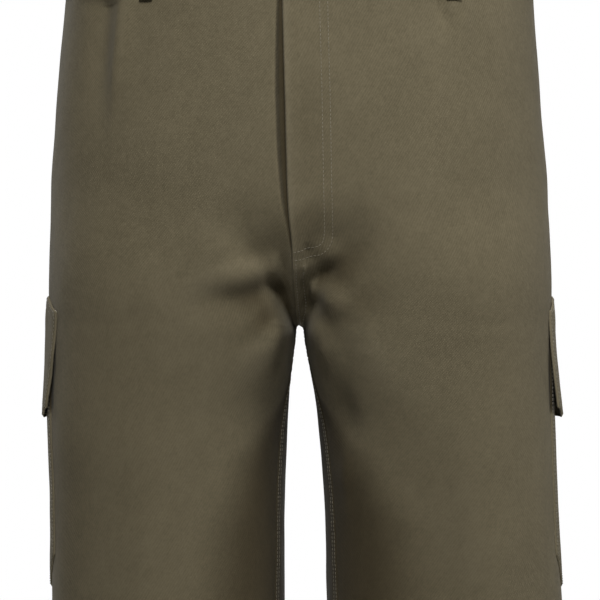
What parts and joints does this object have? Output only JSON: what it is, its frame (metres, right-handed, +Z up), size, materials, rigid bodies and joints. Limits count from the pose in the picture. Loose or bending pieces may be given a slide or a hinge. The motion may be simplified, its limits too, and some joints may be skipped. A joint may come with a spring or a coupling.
{
  "type": "cargo shorts",
  "caption": "Knee-length cargo shorts in olive cotton twill with a lapped zip fly, belt loops and a flapped patch pocket on each leg, in the filled-out form of a worn pair",
  "frame": {"origin": "the centre of the waist opening, at the waistband's top edge, where the wearer's waist holds the garment", "axes": "+X is the wearer's left, -Y the front, +Z up; the legs hang down to the hems at z -0.575"},
  "size_m": [0.4044, 0.267, 0.575],
  "materials": {
    "twill": "matte olive cotton twill, washed",
    "zip": "matte woven tape with a coil chain",
    "slider": "aged, satin",
    "button": "satin, horn-like"
  },
  "bodies": {
    "root": {"front_right": "twill", "front_left": "twill", "back_right": "twill", "back_left": "twill", "waistband_right": "twill", "waistband_left": "twill", "cargo_pocket_right": "twill", "cargo_pocket_left": "twill", "cargo_flap_right": "twill", "cargo_flap_left": "twill", "belt_loop_front_right": "twill", "belt_loop_front_left": "twill", "belt_loop_back_right": "twill", "belt_loop_back_left": "twill", "belt_loop_centre_back": "twill", "fly_zip": "zip", "zip_slider": "slider", "waist_button": "button"}
  },
  "joints": []
}
